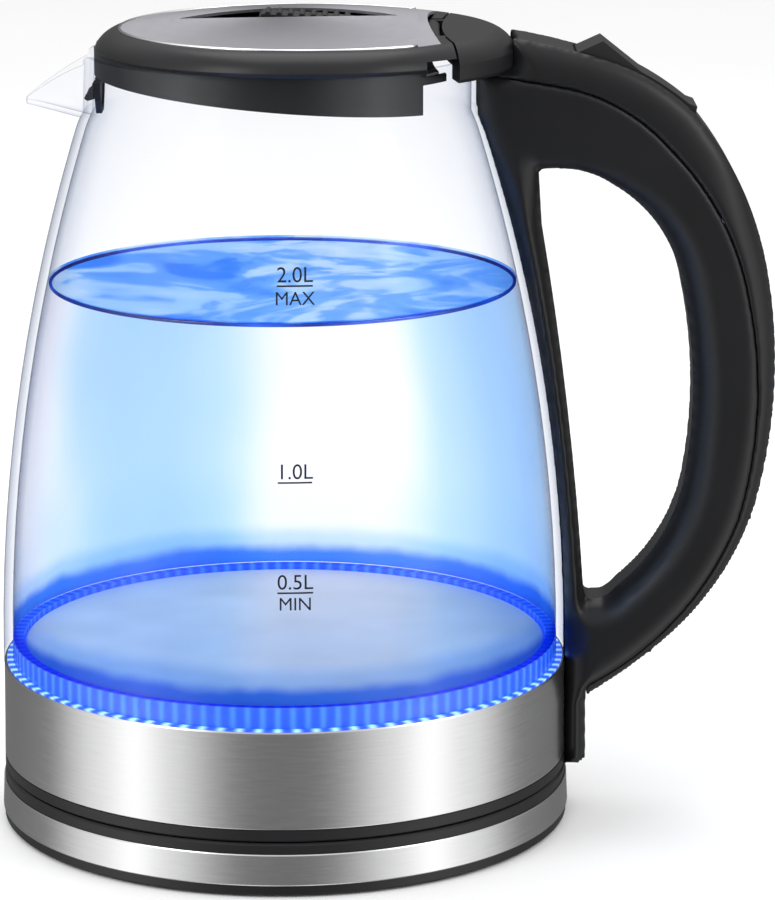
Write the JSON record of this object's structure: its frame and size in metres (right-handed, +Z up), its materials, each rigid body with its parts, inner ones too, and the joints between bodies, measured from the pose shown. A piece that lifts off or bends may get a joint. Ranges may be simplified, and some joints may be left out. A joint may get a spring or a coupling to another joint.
{
  "type": "electric kettle",
  "caption": "Cordless electric kettle: tapered glass jug with spout, steel skirt, black loop handle with rocker switch, hinged steel-topped lid, and a round power base.",
  "frame": {"origin": "centre of the rubber foot ring's lower face, on the jug's axis", "axes": "+Z up along the jug's axis, +X from the axis to the handle, the spout points along -X"},
  "size_m": [0.2166, 0.1626, 0.2276],
  "materials": {
    "black_plastic": "satin moulded",
    "handle_plastic": "fine satin moulded",
    "lid_plastic": "satin moulded",
    "rocker_plastic": "satin moulded",
    "foot_rubber": "matt",
    "brushed_steel_trim": "satin, brushed around",
    "lid_steel": "fine satin",
    "plate_steel": "satin",
    "element_steel": "dull",
    "screw_steel": "plated",
    "spring_steel": "drawn wire",
    "filter_steel": "woven",
    "contact_brass": "plated",
    "bimetal": "rolled sheet",
    "spreader_aluminium": "as rolled",
    "controller_plastic": "moulded",
    "lead_insulation": "sleeved",
    "clear_silicone": "translucent",
    "light_guide_clear": "clear moulded",
    "board_green": "lacquered",
    "lamp_blue": "clear epoxy",
    "jug_glass": "clear polished"
  },
  "bodies": {
    "power_base": {"base_lower_cover": "black_plastic", "base_foot_ring": "foot_rubber", "base_steel_band": "brushed_steel_trim", "base_upper_cover": "black_plastic", "connector_tower": "black_plastic", "contact_pin": "contact_brass", "contact_inner_ring": "contact_brass", "contact_outer_ring": "contact_brass", "cord_gland": "foot_rubber", "base_screws": "screw_steel", "base_leads": "lead_insulation"},
    "socket": {"socket_cup": "black_plastic", "socket_centre_sleeve": "contact_brass", "socket_ring_sleeve": "contact_brass", "socket_outer_sleeve": "contact_brass"},
    "jug": {"jug_lower_cover": "black_plastic", "jug_steel_skirt": "brushed_steel_trim", "heating_plate": "plate_steel", "plate_gasket": "clear_silicone", "heat_spreader": "spreader_aluminium", "heating_element": "element_steel", "element_terminals": "screw_steel", "dry_boil_controller": "controller_plastic", "bimetal_disc": "bimetal", "led_light_guide": "light_guide_clear", "led_board": "board_green", "leds": "lamp_blue", "glass_jug": "jug_glass", "handle_body": "handle_plastic", "handle_cover": "handle_plastic", "rocker_pin": "screw_steel", "steam_switch": "controller_plastic", "steam_bimetal": "bimetal", "handle_screws": "screw_steel", "hinge_housing": "lid_plastic", "hinge_pin": "screw_steel", "filter_frame": "black_plastic", "filter_mesh": "filter_steel"},
    "rocker": {"switch_rocker": "rocker_plastic"},
    "lid": {"lid_rim": "lid_plastic", "lid_disc": "lid_steel", "lid_grip_recess": "black_plastic", "lid_inner_skirt": "black_plastic", "lid_under_plate": "plate_steel", "lid_posts": "black_plastic", "lid_screws": "screw_steel", "latch_spring": "spring_steel"},
    "latch": {"latch_bolt": "black_plastic", "latch_tab": "rocker_plastic"}
  },
  "joints": [
    {"name": "jug_lift", "type": "slide", "parent": "power_base", "child": "socket", "axis": [0, 0, 1], "range_m": [0, 0.06]},
    {"name": "jug_turn", "type": "hinge", "parent": "socket", "child": "jug", "pos_m": [0, 0, 0.02], "axis": [0, 0, 1], "continuous": true},
    {"name": "lid_hinge", "type": "hinge", "parent": "jug", "child": "lid", "pos_m": [0.042, 0, 0.2207], "axis": [0, 1, 0], "range_deg": [0, 65]},
    {"name": "latch_slide", "type": "slide", "parent": "lid", "child": "latch", "axis": [1, 0, 0], "range_m": [0, 0.003], "stiffness_N_per_m": 150, "springref_m": -0.002, "deforming": ["latch_spring"]},
    {"name": "switch_tilt", "type": "hinge", "parent": "jug", "child": "rocker", "pos_m": [0.097, 0, 0.2046], "axis": [0, 1, 0], "range_deg": [-7, 0]}
  ]
}
